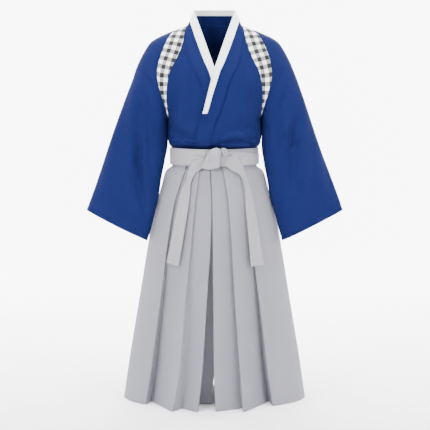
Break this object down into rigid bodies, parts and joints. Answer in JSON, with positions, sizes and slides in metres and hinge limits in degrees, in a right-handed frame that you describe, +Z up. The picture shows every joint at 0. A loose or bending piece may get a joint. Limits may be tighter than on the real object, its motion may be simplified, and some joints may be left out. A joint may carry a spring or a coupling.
{
  "type": "hakama uniform",
  "caption": "Crossed martial-arts jacket with wide sleeves and checked shoulder inserts, tucked into pleated divided trousers tied at the front, filled out as worn.",
  "frame": {"origin": "the middle of the waist ring, at the middle of the belt's height, inside the garment", "axes": "+Z up, the front faces -Y, +X towards the wearer's left"},
  "size_m": [0.9166, 0.3993, 1.3965],
  "materials": {
    "blue_twill": "matt blue twill",
    "white_cloth": "matt white cotton",
    "check_cloth": "matt cloth in a small black, grey and white check",
    "grey_cloth": "matt light grey cloth, pleats pressed in",
    "grey_tie": "matt light grey cloth, folded into ties"
  },
  "bodies": {
    "root": {"jacket_back": "blue_twill", "jacket_front_left": "blue_twill", "jacket_front_right": "blue_twill", "shoulder_left": "blue_twill", "shoulder_right": "blue_twill", "check_left": "check_cloth", "check_right": "check_cloth", "collar_band": "blue_twill", "collar_white": "white_cloth", "collar_white_fold": "white_cloth", "sleeve_left": "blue_twill", "sleeve_right": "blue_twill", "hakama_front_left": "grey_cloth", "hakama_front_right": "grey_cloth", "hakama_back_left": "grey_cloth", "hakama_back_right": "grey_cloth", "inner_leg_left": "grey_cloth", "inner_leg_right": "grey_cloth", "waistband_front": "grey_cloth", "waistband_back": "grey_cloth", "back_board": "grey_cloth", "tie_left": "grey_tie", "tie_right": "grey_tie", "tie_wrap": "grey_tie", "knot_core": "grey_tie", "knot_loop": "grey_tie", "knot_wrap": "grey_tie", "tail_left": "grey_tie", "tail_right": "grey_tie"}
  },
  "joints": []
}
